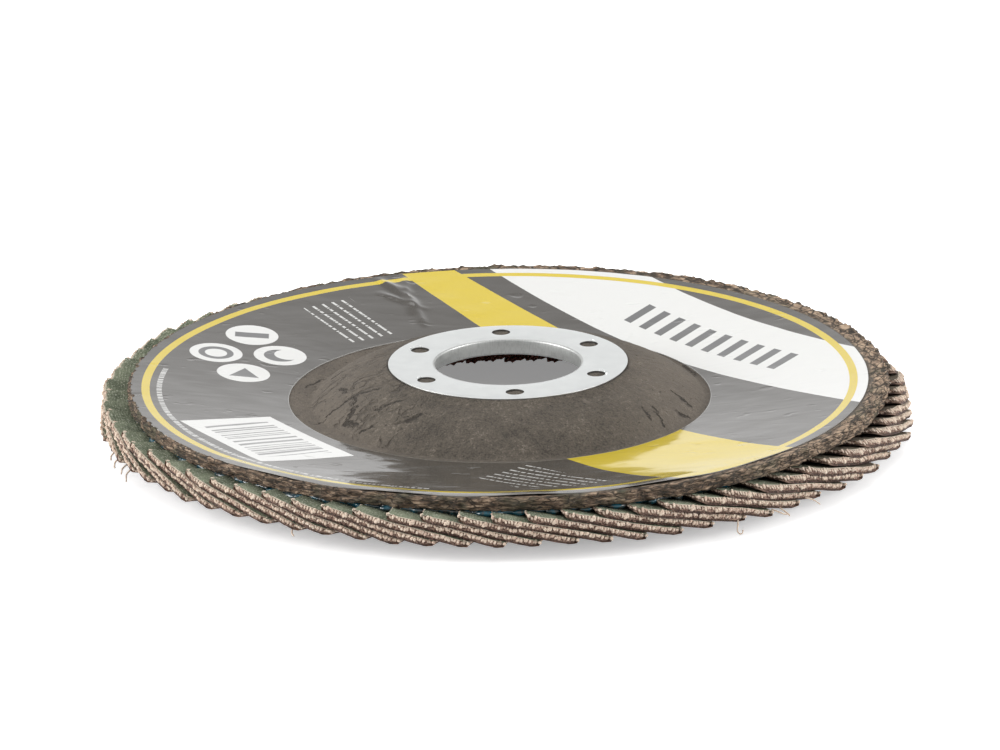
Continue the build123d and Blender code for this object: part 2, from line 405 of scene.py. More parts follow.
skin = wires.layered(
    RESIN_DARK,
    (wires.step(resin["Mottle"], 0.34, 0.54), RESIN_BROWN),
    (wires.step(resin["Mottle"], 0.53, 0.66, 0.0, 0.75), RESIN_DUST_AND_SHEEN),
    (wires.step(strand_lines, 0.55, 0.78, 0.0, 0.30), RESIN_DUST_AND_SHEEN),
    # painted light: the hub is paler towards its left and right flanks, where the side lamps fall
    (wires.step(wires.math("ABSOLUTE", along_x), 13.0, 26.0, 0.0, 0.26), RESIN_DUST_AND_SHEEN),
    (wires.times(resin["Pits"], 0.55), RESIN_DARK),
    (wires.times(cracks, 0.85), RESIN_DARK),
)
# The rim is paler and more tan towards the right side of the disc
paler_to_right = wires.times(wires.step(along_x, 22.0, 46.0, 0.0, 0.6), wires.step(torn, 0.38, 0.60))
torn_colour = wires.layered(
    RESIN_DARK,
    (wires.step(torn, 0.34, 0.56), RIM_RUST),
    (wires.step(torn, 0.50, 0.68), RIM_TAN),
    (wires.step(stains, 0.50, 0.66, 0.0, 0.75), RIM_OLIVE),
    (paler_to_right, RIM_TAN),
    (wires.step(wires.cracks(layers, 1.4), 0.10, 0.02, 0.0, 0.9), RESIN_DARK),
)

# The underside: the weave of the lowest glass cloth, under a thin coat of resin
yarn_waves = [wires.math("SINE", wires.times(along, 2 * math.pi / GLASS_YARN)) for along in (along_x, along_y)]
glass = wires.step(wires.math("MAXIMUM", *yarn_waves), 0.45, 0.95)
glass = wires.times(glass, wires.step(wires.facing_up(), -0.5, -0.8))
under_and_dust = ((wires.times(glass, 0.5), RESIN_DUST_AND_SHEEN), (wires.times(specks, 0.6), DUST_PALE))
wires.join(wires.layered(skin, (on_rim, torn_colour), *under_and_dust), shader.inputs["Base Color"])
wires.join(wires.step(resin["Mottle"], 0.3, 0.7, 0.62, 0.9), shader.inputs["Roughness"])
height = wires.times_add(cracks, -0.50, resin["Height"])
height = wires.times_add(wires.times(torn, on_rim), 0.50, height)
height = wires.times_add(strand_lines, 0.12, height)
height = wires.times_add(glass, 0.15, height)
wires.bump(height, shader)
plate.data.materials.append(laminate)
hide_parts("backing_plate")
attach(plate, "root")

# Bore ring: a flanged bush pressed from sheet steel and zinc plated, clinched over the laminate's bore.
# Six punched holes in its flange let the hub's resin rise and key it against turning.
BORE_RADIUS = 11.115
FLANGE_RADIUS = 18.2
MOUTH_ROUND = 0.30             # radius that the press leaves at the bore's upper edge
PUNCH_ROLL = 0.06              # how far a punched edge is rolled over
CLINCH = 0.45
KEY_HOLES = 6
KEY_RADIUS = 1.4
KEY_CIRCLE = 14.875
KEY_TURN = math.radians(33.75)
KEY_SINK = 0.17                # how far the resin stops below the flange's face
ZINC_PLAIN = (0.73, 0.75, 0.745, 1)
ZINC_BRIGHT = (0.86, 0.875, 0.865, 1)
NECK_GREY = (0.42, 0.425, 0.41, 1)
DRAWN_GREY = (0.30, 0.305, 0.295, 1)
SCRATCH_GREY = (0.55, 0.55, 0.54, 1)
PAINTED_EDGE_SHADOW = (0.10, 0.09, 0.08, 1)
SAME_PLACE = 1e-7              # in metres: points nearer than this are one
ring_low, ring_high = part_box("bore_ring")
FACE_HEIGHT = ring_high.z / MM
NECK_END = ring_low.z / MM


def rounded(centre_x, centre_z, radius, start, end, steps):
    """Points along an arc in the plane of a section, by its start and end angle in degrees."""
    turns = [math.radians(start + (end - start) * step / steps) for step in range(steps + 1)]
    return [(centre_x + radius * math.cos(turn), centre_z + radius * math.sin(turn)) for turn in turns]


def ring_section(angle):
    mouth = rounded(BORE_RADIUS + MOUTH_ROUND, FACE_HEIGHT - MOUTH_ROUND, MOUTH_ROUND, 180, 90, 8)
    groove = [(BORE_RADIUS + 0.68, FACE_HEIGHT - 0.02), (BORE_RADIUS + 0.80, FACE_HEIGHT)]
    face = [(radius, FACE_HEIGHT) for radius in (13.2, KEY_CIRCLE, 16.6)]
    edge = rounded(FLANGE_RADIUS - PUNCH_ROLL, FACE_HEIGHT - PUNCH_ROLL, PUNCH_ROLL, 90, 0, 4)
    edge += [(FLANGE_RADIUS, SEAT_HEIGHT + 0.04), (FLANGE_RADIUS - 0.04, SEAT_HEIGHT)]
    neck = [(NECK_RADIUS, SEAT_HEIGHT), (NECK_RADIUS, NECK_END + CLINCH), (NECK_RADIUS + CLINCH, NECK_END)]
    flare = [(BORE_RADIUS + CLINCH, NECK_END), (BORE_RADIUS + 0.15, NECK_END + 0.22)]
    outline = mouth + groove + face + edge + neck + flare + [(BORE_RADIUS, NECK_END + CLINCH)]
    return [(radius * math.cos(angle), radius * math.sin(angle), height) for radius, height in outline]


def merge_doubles(made):
    """Closes seams and poles, and turns every face outwards."""
    work = bmesh.new()
    work.from_mesh(made.data)
    bmesh.ops.remove_doubles(work, verts=work.verts, dist=SAME_PLACE)
    bmesh.ops.recalc_face_normals(work, faces=work.faces)
    work.to_mesh(made.data)
    work.free()
    return made


def key_places():
    for index in range(KEY_HOLES):
        angle = KEY_TURN + 2 * math.pi * index / KEY_HOLES
        yield index, KEY_CIRCLE * math.cos(angle), KEY_CIRCLE * math.sin(angle)


def joined(name, parts):
    """One object from several, which it takes the place of."""
    vertices, faces = [], []
    for part in parts:
        start = len(vertices)
        vertices += [tuple(vertex.co / MM) for vertex in part.data.vertices]
        faces += [[start + corner for corner in face.vertices] for face in part.data.polygons]
        bpy.data.objects.remove(part)
    return mesh_object(name, vertices, faces)


def hole_punch(x, y):
    """The punch that makes one key hole, with its sharp edge."""
    over, under = FACE_HEIGHT + 1, SEAT_HEIGHT - 0.5
    outline = [(0, over), (KEY_RADIUS, over), (KEY_RADIUS, under), (0, under)]

    def section(angle):
        cos, sin = math.cos(angle), math.sin(angle)
        return [(x + radius * cos, y + radius * sin, height) for radius, height in outline]

    return merge_doubles(turned_mesh("punch", section, 40))


ring = turned_mesh("bore_bush", ring_section, 240)
punches = joined("punches", [hole_punch(x, y) for index, x, y in key_places()])
punched = ring.modifiers.new("key_holes", "BOOLEAN")
punched.object = punches
punched.solver = "EXACT"
ring_mesh = bpy.data.meshes.new_from_object(ring.evaluated_get(bpy.context.evaluated_depsgraph_get()))
ring.modifiers.remove(punched)
ring.data = ring_mesh
bpy.data.objects.remove(punches)
ring_mesh.set_sharp_from_angle(angle=math.radians(38))

zinc, wires, shader, place = start_material("zinc_plated_steel", Metallic=1.0)
along_x, along_y, upwards = wires.separate(place)
turn = wires.math("ARCTAN2", along_x, along_y)
radius = wires.length(wires.flat(place))
in_neck = wires.step(radius, BORE_RADIUS + 0.45, BORE_RADIUS + 0.15)
drawn = wires.combine(wires.times(turn, 38.0), wires.times(upwards, 0.7))
draw_lines = wires.times(wires.noise(drawn, 0.8, 5.0, 0.75), in_neck)
scratch_place = wires.vector("MULTIPLY", place, (3.2, 0.35, 1.0))
scratches = wires.step(wires.noise(scratch_place, 0.7, 3.0, 0.7, 0.5), 0.70, 0.80)
bloom = wires.noise(place, 2.2, 4.0, 0.6)
# Painted shadow: the flange's outer wall and the key holes' walls are dark below the face
shadow_line = wires.step(wires.math("SUBTRACT", upwards, FACE_HEIGHT), -0.01, -0.05)
outside = wires.step(radius, FLANGE_RADIUS - 0.3, FLANGE_RADIUS - 0.05)
for index, x, y in key_places():
    from_hole = wires.length(wires.flat(wires.vector("SUBTRACT", place, (x, y, 0.0))))
    outside = wires.math("MAXIMUM", outside, wires.step(from_hole, KEY_RADIUS + 0.10, KEY_RADIUS + 0.06))
metal = wires.layered(
    ZINC_PLAIN,
    (bloom, ZINC_BRIGHT),
    (wires.times(in_neck, 0.75), NECK_GREY),
    (wires.times(wires.step(draw_lines, 0.42, 0.66), 0.45), DRAWN_GREY),
    (wires.times(scratches, 0.18), SCRATCH_GREY),
    (wires.times(shadow_line, outside, 0.85), PAINTED_EDGE_SHADOW),
)
wires.join(metal, shader.inputs["Base Color"])
roughness = wires.times_add(bloom, 0.22, 0.26)
wires.join(wires.times_add(in_neck, 0.12, roughness), shader.inputs["Roughness"])
height = wires.times_add(draw_lines, 0.03, wires.times(scratches, -0.006))
height = wires.times_add(bloom, 0.008, height)
wires.bump(height, shader)
ring.data.materials.clear()
ring.data.materials.append(zinc)
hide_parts("bore_ring")
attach(ring, "root")


def resin_key(index, x, y):
    """The resin that rose into one hole: a rough plug, lower round its edge."""
    radii = [0.0, 0.3, 0.6, 0.85, 1.05, 1.2, 1.3, KEY_RADIUS]

    def section(angle):
        points = []
        for radius in radii:
            px, py = x + radius * math.cos(angle), y + radius * math.sin(angle)
            edge = 0.10 * (radius / KEY_RADIUS) ** 4
            lumps = 0.07 * rough(px, py, index, 0.7, 31 + index, 3)
            points.append((px, py, FACE_HEIGHT - KEY_SINK - edge + (lumps if radius else 0)))
        rim_x, rim_y = x + KEY_RADIUS * math.cos(angle), y + KEY_RADIUS * math.sin(angle)
        return points + [(rim_x, rim_y, SEAT_HEIGHT - 0.1), (x, y, SEAT_HEIGHT - 0.1)]

    return merge_doubles(turned_mesh("key", section, 36))


def burr(x, y, angle, length, height):
    """A sliver that the punch tore up at a hole's edge: a thin tapered curl."""
    cos, sin = math.cos(angle), math.sin(angle)
    vertices, faces = [], []
    for step in range(7):
        share = step / 6
        reach = KEY_RADIUS + 0.05 + 0.35 * math.sin(2.4 * share)
        sweep = angle + length / KEY_RADIUS * (share - 0.5)
        lift = FACE_HEIGHT + 0.03 + height * math.sin(math.pi * min(1, 1.25 * share))
        width = 0.07 * (1 - share) + 0.012
        middle = Vector((x + reach * math.cos(sweep), y + reach * math.sin(sweep), lift))
        for dx, dz in ((width, 0), (0, width), (-width, 0), (0, -width)):
            vertices.append((middle.x + dx * cos, middle.y + dx * sin, middle.z + dz))
        if step:
            start = 4 * (step - 1)
            for side in range(4):
                here, after = start + side, start + (side + 1) % 4
                faces.append((here, after, after + 4, here + 4))
    faces += [(3, 2, 1, 0), (24, 25, 26, 27)]
    return merge_doubles(mesh_object("burr", vertices, faces))


keys = joined("resin_keys", [resin_key(index, x, y) for index, x, y in key_places()])
keys.data.materials.append(laminate)
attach(keys, "root")

BURRS = (                      # hole, angle round it, length and height of each sliver
    (2, 1.9, 1.5, 0.20), (2, 2.9, 0.9, 0.10), (5, 0.9, 1.3, 0.22),
    (5, 0.1, 1.0, 0.12), (0, 1.2, 0.8, 0.10), (3, 2.4, 0.9, 0.08),
)
places = {index: (x, y) for index, x, y in key_places()}
burrs = joined("punch_burrs", [burr(*places[hole], *sizes) for hole, *sizes in BURRS])
burrs.data.materials.append(zinc)
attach(burrs, "root")

# Label: a printed plastic film, die-cut as a ring and glued to the plate's cone a little off centre. It
# stands off the plate in shallow waves along its front edge and in creases beside its seam.
LABEL_CENTRE = (-1.32, 0.0)
LABEL_RADIUS = 56.0
LABEL_HOLE_RADIUS = 32.05
LABEL_THICKNESS = 0.12
LABEL_STEPS = 65               # points across the film, close enough for its creases
FRONT_LIFT = 0.10              # how far the film has come away at the front
FRONT_CURL = 0.12              # and how much of that its edge turns down again
FRONT_WAVES = 0.15
FRONT_START = (33.0, 46.0)     # how far forward it starts to come away, and where it has done so
FRONT_WAVES_FROM = 50.0        # radii from which the waves and the turned-down edge start
FRONT_CURL_FROM = 54.4
CREASE_WIDTH = 0.55
LABEL_CREASES = (
    ((-19.4, 51.2), (-14.6, 43.6), 0.34),
    ((-14.6, 43.6), (-13.0, 35.5), 0.26),
    ((-15.9, 51.8), (-14.9, 40.0), 0.24),
    ((-18.9, 45.9), (-13.6, 41.4), 0.22),
    ((-17.6, 49.5), (-15.4, 47.2), 0.20),
)


def label_lift(x, y):
    """How far the film stands off the plate."""
    radius = math.hypot(x - LABEL_CENTRE[0], y)
    lift = 0.03 + 0.035 * rough(x, y, 0, 7.0, 41, 2)
    for (ax, ay), (bx, by), height in LABEL_CREASES:
        length = math.hypot(bx - ax, by - ay)
        along = ((x - ax) * (bx - ax) + (y - ay) * (by - ay)) / length
        aside = ((x - ax) * (by - ay) - (y - ay) * (bx - ax)) / length
        if -2 < along < length + 2:
            fade = min(1.0, (along + 2) / 3, (length + 2 - along) / 3)
            lift += height * fade * math.exp(-((aside / CREASE_WIDTH) ** 2))
    turned_down = FRONT_CURL * ramp(radius, FRONT_CURL_FROM, LABEL_RADIUS)
    waves = FRONT_WAVES * ramp(radius, FRONT_WAVES_FROM, LABEL_RADIUS) ** 2 * (1 + math.sin(x / 3.1 + 0.8))
    return max(0.0, lift + ramp(-y, *FRONT_START) * (FRONT_LIFT + waves - turned_down))


def label_section(angle):
    under = []
    for radius in np.linspace(LABEL_HOLE_RADIUS, LABEL_RADIUS, LABEL_STEPS):
        x, y = LABEL_CENTRE[0] + radius * math.cos(angle), radius * math.sin(angle)
        under.append((x, y, plate_top(math.hypot(x, y)) - sag(x, y) + label_lift(x, y)))
    return [(x, y, height + LABEL_THICKNESS) for x, y, height in under] + under[::-1]


label = turned_mesh("label_film", label_section, 600)
label.data.set_sharp_from_angle(angle=math.radians(50))

# Two groups measure how far a place lies to the left of a line, or inside a circle
left_of_line, wires, given, result = start_group(
    "left_of_line", {"Place": ORIGIN, "From": ORIGIN, "To": (1.0, 0.0, 0.0)}, ("Distance",)
)
heading = wires.vector("NORMALIZE", wires.vector("SUBTRACT", given["To"], given["From"]))
sideways = wires.vector("CROSS_PRODUCT", heading, wires.vector("SUBTRACT", given["Place"], given["From"]))
wires.join(wires.separate(sideways)[2], result["Distance"])

inside_circle, wires, given, result = start_group(
    "inside_circle", {"Place": ORIGIN, "Centre": ORIGIN, "Radius": 1.0}, ("Distance",)
)
out = wires.length(wires.vector("SUBTRACT", given["Place"], given["Centre"]))
wires.join(wires.math("SUBTRACT", given["Radius"], out), result["Distance"])

film, wires, shader, place = start_material(
    "printed_film", Roughness=0.14, Coat_Weight=0.45, Coat_Roughness=0.035
)
along_x, along_y, _ = wires.separate(place)
flat_place = wires.flat(place)
INK_SOFTNESS = 0.10            # width over which a printed edge fades


def left_of(start, end):
    ends = {"From": (*start, 0.0), "To": (*end, 0.0)}
    return wires.group(left_of_line, Place=flat_place, **ends)["Distance"]


def inside(centre, radius):
    return wires.group(inside_circle, Place=flat_place, Centre=(*centre, 0.0), Radius=radius)["Distance"]


def ink(*distances):
    """The mask of a field: inside every one of its edges."""
    nearest = distances[0]
    for distance in distances[1:]:
        nearest = wires.math("MINIMUM", nearest, distance)
    return wires.math("MULTIPLY_ADD", nearest, 1 / INK_SOFTNESS, 0.5, clamp=True)


def field(*corners):
    """A field with straight edges, its corners given anticlockwise."""
    return ink(*[left_of(start, end) for start, end in zip(corners, corners[1:] + corners[:1])])


def outside_of(centre, radius):
    return wires.times(inside(centre, radius), -1.0)


def between(centre, inner, outer):
    """The mask of a ring between two radii."""
    return ink(inside(centre, outer), outside_of(centre, inner))


def circle_through(a, b, c):
    """Centre and radius of the circle through three points."""
    (ax, ay), (bx, by), (cx, cy) = a, b, c
    twice_area = 2 * (ax * (by - cy) + bx * (cy - ay) + cx * (ay - by))
    a2, b2, c2 = ax**2 + ay**2, bx**2 + by**2, cx**2 + cy**2
    x = (a2 * (by - cy) + b2 * (cy - ay) + c2 * (ay - by)) / twice_area
    y = (a2 * (cx - bx) + b2 * (ax - cx) + c2 * (bx - ax)) / twice_area
    return (x, y), math.hypot(ax - x, ay - y)


def stripes(start, direction, pitch, share):
    """Bars square to a direction, one for each pitch, as wide as a share of it."""
    length = math.hypot(*direction)
    unit = (direction[0] / length, direction[1] / length, 0.0)
    reach = wires.dot(wires.vector("SUBTRACT", flat_place, (*start, 0.0)), unit)
    wave = wires.math("PINGPONG", wires.math("DIVIDE", reach, pitch), 0.5)
    return ink(wires.times(wires.math("SUBTRACT", share / 2, wave), pitch)), reach


INK_BLACK = (0.053, 0.047, 0.039, 1)
INK_BLACK_THIN = (0.062, 0.055, 0.047, 1)
INK_YELLOW = (0.62, 0.47, 0.020, 1)
FILM_WHITE = (0.72, 0.72, 0.70, 1)
FILM_DUST = (0.7, 0.69, 0.66, 1)
BARE_FILM = (0.45, 0.44, 0.42, 1)
INK_GREY = (0.115, 0.115, 0.115, 1)
STRIPE = (53.15, 54.4)         # radii of the yellow ring near the label's edge
SWOOSH_BACK = ((223.0, 184.7), 241.1)
SWOOSH_FRONT = ((349.0, 279.3), 416.5)
YELLOW_BACK = ((-19.9, 60.0), (-1.0, 29.0), (10.7, 29.0), (-11.2, 60.0))
YELLOW_FRONT_RIGHT = ((25.5, -16.6), (29.3, -21.9), (41.5, -34.3))
YELLOW_FRONT_LEFT = ((8.2, -29.9), (15.4, -40.1), (24.6, -48.9))
DISCS = ((-39.3, 27.1), (-44.7, 18.4), (-34.9, 19.3), (-40.4, 10.4))
DISC_RADIUS = 4.05
PANEL = ((-49.6, -16.3), (-37.1, -36.0), (-23.3, -29.2), (-36.1, -9.9))
NOTES = (                      # corners, anticlockwise, and the direction of the rules
    (((-4.6, -41.8), (1.0, -49.5), (10.5, -50.0), (15.0, -46.5), (2.4, -33.4)), (0.74, -0.67)),
    (((-31.5, 39.5), (-24.0, 26.5), (-17.0, 31.5), (-24.5, 44.5)), (0.53, -0.85)),
)
RULE_PITCH = 1.75
ARC_NOTE = (51.3, 52.1)        # radii of the broken line that runs inside the yellow ring

swoosh = ink(outside_of(*SWOOSH_BACK), inside(*SWOOSH_FRONT))

# A band of slanted bars stands on the white field
BAR_PITCH = 3.6
BAR_BAND = (247.5, 254.0)      # its radii, from the same centre as the field's back edge
bars, along_bars = stripes((20.0, 30.0), (1.0, -0.75), BAR_PITCH, 0.46)
band_ends = (
    wires.math("ADD", along_bars, 1.5 * BAR_PITCH), wires.math("SUBTRACT", 8.5 * BAR_PITCH, along_bars)
)
band = ink(outside_of(SWOOSH_BACK[0], BAR_BAND[0]), inside(SWOOSH_BACK[0], BAR_BAND[1]), *band_ends)

yellow_back = field(*YELLOW_BACK)
front_half = left_of((60.0, -5.0), (-60.0, -5.0))
front_left, front_right = circle_through(*YELLOW_FRONT_LEFT), circle_through(*YELLOW_FRONT_RIGHT)
yellow_front = ink(inside(*front_left), outside_of(*front_right), front_half)
stripe = between(LABEL_CENTRE, *STRIPE)
yellow = wires.math("MAXIMUM", wires.math("MAXIMUM", yellow_back, yellow_front), stripe)
inks = [(swoosh, FILM_WHITE), (wires.times(bars, band), INK_GREY), (yellow, INK_YELLOW)]

# Four white discs, each with one plain dark shape
inks += [(ink(inside(centre, DISC_RADIUS)), FILM_WHITE) for centre in DISCS]
(ax, ay), (bx, by), (cx, cy), (dx, dy) = DISCS
bar_a = field((ax - 2.6, ay - 1.0), (ax + 2.6, ay - 1.0), (ax + 2.6, ay + 1.0), (ax - 2.6, ay + 1.0))
ring_b = between((bx, by), 1.7, 2.7)
moon_c = ink(inside((cx, cy), 2.5), outside_of((cx + 1.2, cy + 0.6), 2.1))
wedge_d = field((dx - 2.2, dy - 1.7), (dx + 2.4, dy - 1.7), (dx + 0.2, dy + 2.2))
inks += [(shape, INK_GREY) for shape in (bar_a, ring_b, moon_c, wedge_d)]

# A white panel of uneven bars, two blocks of short thin rules, and a broken line round the edge
inner_panel = field((-46.4, -17.6), (-36.9, -33.0), (-26.6, -28.0), (-36.5, -12.8))
_, down_panel = stripes(PANEL[0], (12.5, -19.7), 1.0, 0.5)
bars = wires.times(wires.step(wires.noise_along(down_panel, 1.1, 1.0), 0.50, 0.53), inner_panel)
inks += [(field(*PANEL), FILM_WHITE), (wires.times(bars, 0.85), INK_GREY)]
for corners, (dx, dy) in NOTES:
    rules, _ = stripes(corners[0], (-dy, dx), RULE_PITCH, 0.24)
    _, along_rule = stripes(corners[0], (dx, dy), 1.0, 0.5)
    rules = wires.times(rules, field(*corners), wires.step(wires.noise_along(along_rule, 1.7, 2.0), 0.42, 0.48))
    inks.append((wires.times(rules, 0.85), FILM_WHITE))
round_centre = wires.math("ARCTAN2", wires.math("SUBTRACT", along_x, LABEL_CENTRE[0]), along_y)
gaps = wires.noise_along(wires.times(round_centre, 50.0), 2.2, 2.0)
arc_ends = (left_of((-1.3, 0.0), (-50.0, 9.0)), left_of((-14.0, -60.0), (-1.3, 0.0)))
arc = ink(inside(LABEL_CENTRE, ARC_NOTE[1]), outside_of(LABEL_CENTRE, ARC_NOTE[0]), *arc_ends)
inks.append((wires.times(arc, wires.step(gaps, 0.44, 0.50), 0.7), FILM_WHITE))

# A painted highlight runs round the hole's edge, and the cut edge and the glued face are bare white plastic
hole_edge_highlight = ink(inside(LABEL_CENTRE, LABEL_HOLE_RADIUS + 0.10))
specks = wires.group(dust_specks, Place=place, Amount=0.6)["Specks"]
inks += [
    (wires.times(hole_edge_highlight, 0.30), FILM_WHITE),
    (wires.step(wires.facing_up(), 0.5, 0.3), BARE_FILM),
    (wires.times(specks, 0.7), FILM_DUST),
]
black = wires.mix(wires.noise(place, 14.0, 2.0), INK_BLACK, INK_BLACK_THIN)
wires.join(wires.layered(black, *inks), shader.inputs["Base Color"])
smears = wires.noise(wires.vector("MULTIPLY", place, (0.35, 1.0, 1.0)), 3.5, 3.0, 0.6, 0.5)
wires.join(wires.step(smears, 0.40, 0.75, 0.09, 0.20), shader.inputs["Roughness"])
ripple_place = wires.vector("MULTIPLY", place, (0.45, 1.0, 1.0))
ripples = wires.noise(ripple_place, 3.4, 1.0, 0.4, 0.8)
dents = wires.step(wires.noise(wires.vector("MULTIPLY", place, (0.6, 1.0, 1.0)), 2.0, 1.0, 0.5), 0.62, 0.78)
dents = wires.times(dents, wires.step(wires.noise(place, 9.0, 1.0), 0.45, 0.60))
height = wires.times_add(dents, -0.07, wires.times(ripples, 0.050))
wires.bump(height, shader)
label.data.materials.append(film)
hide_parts("label")
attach(label, "root")

# Adhesive bed: epoxy laid on the plate's underside, into which the flaps are set by their upper edges.
# It squeezes up between them and shows as small dark blue pools in the notches under the rim.
BED_INNER_RADIUS = 38.5
STARVED = 2.2                  # how much less far the epoxy came out on one side of the disc
POOL_COUNT = 72
POOL_FIRST = math.radians(1.5)
POOL_RADIUS = 57.0
POOL_HEIGHT = 6.40
POOL_ROWS, POOL_COLUMNS = 8, 14
POOLS_END = 0.45               # share of the radius beyond which the starved side has no pools
EPOXY_PALE = (0.05, 0.25, 0.30, 1)
GRIME_BROWN = (0.060, 0.046, 0.034, 1)
EPOXY_DEEP = (0.004, 0.020, 0.028, 1)
EPOXY_BLUE = (0.006, 0.095, 0.140, 1)


def bed_section(angle):
    cos, sin = math.cos(angle), math.sin(angle)
    points = []
    outer = PLATE_RADIUS - 0.35 + 0.35 * rough_round(angle, 0, 2.0, 61, 3) - STARVED * max(0.0, cos)
    radii = list(np.linspace(BED_INNER_RADIUS, outer, 12))
    for radius in radii:
        points.append((radius * cos, radius * sin, plate_top(radius) - PLATE_RISE + 0.05))
    for radius in reversed(radii):
        depth = 0.80 + 0.30 * rough(radius * cos, radius * sin, 0, 1.8, 67, 3)
        points.append((radius * cos, radius * sin, plate_top(radius) - PLATE_RISE - depth))
    return points


bed = turned_mesh("epoxy_bed", bed_section, 720)

epoxy, wires, shader, place = start_material("blue_epoxy", Roughness=0.12, Coat_Weight=0.7, Coat_Roughness=0.04)
depths = wires.noise(place, 2.4, 3.0, 0.55)
bubbles = wires.node("ShaderNodeTexVoronoi", None, Vector=place, Scale=1.4).outputs["Distance"]
grime = wires.step(wires.noise(place, 1.6, 3.0, 0.7), 0.46, 0.62)
blue = wires.layered(
    EPOXY_DEEP,
    (wires.step(depths, 0.36, 0.62), EPOXY_BLUE),
    (wires.step(bubbles, 0.12, 0.07, 0.0, 0.35), EPOXY_PALE),
    (wires.times(grime, 0.8), GRIME_BROWN),
)
wires.join(blue, shader.inputs["Base Color"])
wires.bump(wires.times_add(depths, 0.5, wires.times(bubbles, 0.05)), shader)
bed.data.materials.append(epoxy)


def out_and_along(angle):
    """The directions out from the bore's axis and along the rim, at an angle."""
    return Vector((math.cos(angle), math.sin(angle), 0)), Vector((-math.sin(angle), math.cos(angle), 0))


def pool(index):
    """One drop that squeezed out between two flaps, low and rounded, and never twice the same."""
    middle = POOL_FIRST + 2 * math.pi * index / POOL_COUNT
    amount = max(0.3, 0.62 + 1.15 * rough(index, 0, 0, 1.7, 90, 2))
    middle += math.radians(1.2) * rough(index, 5, 0, 1.3, 94, 1)
    half_along, half_out, half_up = 2.0 * amount, 0.95 * amount, 0.35 + 0.25 * amount
    out, tangent = out_and_along(middle)
    base = out * POOL_RADIUS + Vector((0, 0, POOL_HEIGHT))
    vertices, faces = [], []
    for row in range(POOL_ROWS + 1):
        down = math.pi * row / POOL_ROWS
        for column in range(POOL_COLUMNS):
            turn = 2 * math.pi * column / POOL_COLUMNS
            bulge = 1 + 0.22 * rough(3 * math.cos(turn), 3 * math.sin(turn), row + index, 1.6, 92, 2)
            around = math.sin(down) * bulge
            across = tangent * (half_along * math.cos(turn)) + out * (half_out * math.sin(turn))
            vertices.append(base + across * around + Vector((0, 0, half_up * math.cos(down))))
    for row in range(POOL_ROWS):
        for column in range(POOL_COLUMNS):
            start = POOL_COLUMNS * row
            here, after = start + column, start + (column + 1) % POOL_COLUMNS
            faces.append((here, here + POOL_COLUMNS, after + POOL_COLUMNS, after))
    return merge_doubles(mesh_object("pool", vertices, faces))


pool_turns = [math.cos(POOL_FIRST + 2 * math.pi * index / POOL_COUNT) for index in range(POOL_COUNT)]
pools = joined("epoxy_pools", [pool(index) for index, reach in enumerate(pool_turns) if reach < POOLS_END])
pools.data.materials.append(epoxy)
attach(pools, "root")
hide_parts("adhesive_bed")
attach(bed, "root")

# Flaps: rectangles of cloth, woven from thick cream yarn, sized green on the back and coated with brown
# abrasive grain on the face. They are set on edge in the epoxy, each one leaning on the next.
FLAP_COUNT = 72
FLAP_PITCH = math.radians(360 / FLAP_COUNT)
FLAP_TURN = math.radians(1.4)
FLAP_LENGTH = 25.4
FLAP_WIDTH = 18.0
FLAP_THICKNESS = 0.58
HALF_LENGTH, HALF_WIDTH = FLAP_LENGTH / 2, FLAP_WIDTH / 2
EDGE_SWELL = 0.52              # what the cut edge gains below, where yarn and grain have opened
OPENED_LENGTH = 8.0            # and how far in from the edge that starts
FLAP_LEAN = 0.22065            # slope across a flap
FLAP_MIDDLE = Vector((48.742, 0, 3.634))
CLOTH_SHARE = 0.70             # of the thickness, the rest is abrasive coat
CLOTH_SET_BACK = 0.16          # how far the cut cloth stops short of its yarn ends
GRAIN_SET_BACK = 0.30          # how far the abrasive coat has broken away from the cut edge
CORNER_WEAR = 1.1              # how far the lower outer corner is worn back
UPPER_WEAR = 0.75              # and the upper one, as a share of that
WEAR_FROM = 0.74               # share of the half width beyond which a corner is worn
YARN_PITCH = 0.45
SIZING_GREEN = (0.225, 0.252, 0.172, 1)
SIZING_DARK = (0.078, 0.095, 0.060, 1)
NAP_PALE = (0.58, 0.59, 0.48, 1)
YARN_CREAM = (0.80, 0.70, 0.57, 1)
YARN_PINK = (0.52, 0.36, 0.28, 1)
GRAIN_AND_SHADE_BROWN = (0.095, 0.056, 0.043, 1)
GRAIN_DARK = (0.040, 0.024, 0.018, 1)
GRAIN_GLINT = (0.30, 0.19, 0.15, 1)
END_RED = (0.62, 0.25, 0.20, 1)  # the inner ends, soaked with resin
along_axis = Vector((1, 0, CONE_SLOPE)).normalized()
out_axis = Vector((-CONE_SLOPE, FLAP_LEAN, 1)).normalized()
across_axis = out_axis.cross(along_axis)


def flap_point(along, across, depth):
    """A point of the first flap: along and across from its middle, and a share of the way down."""
    opened = ramp(along, HALF_LENGTH - OPENED_LENGTH, HALF_LENGTH) ** 1.5
    inside = min(1.0, 0.25 + (HALF_WIDTH - abs(across)) / 1.6)
    down = (FLAP_THICKNESS + EDGE_SWELL * opened * inside) * depth - FLAP_THICKNESS / 2
    place = FLAP_MIDDLE + along_axis * along + across_axis * across - out_axis * down
    return tuple(place)


def worn_back(across):
    """How far the cut edge is worn back, at a place across the flap."""
    past = ramp(abs(across) / HALF_WIDTH, WEAR_FROM, 1)
    return CORNER_WEAR * past**2 * (1.0 if across > 0 else UPPER_WEAR)


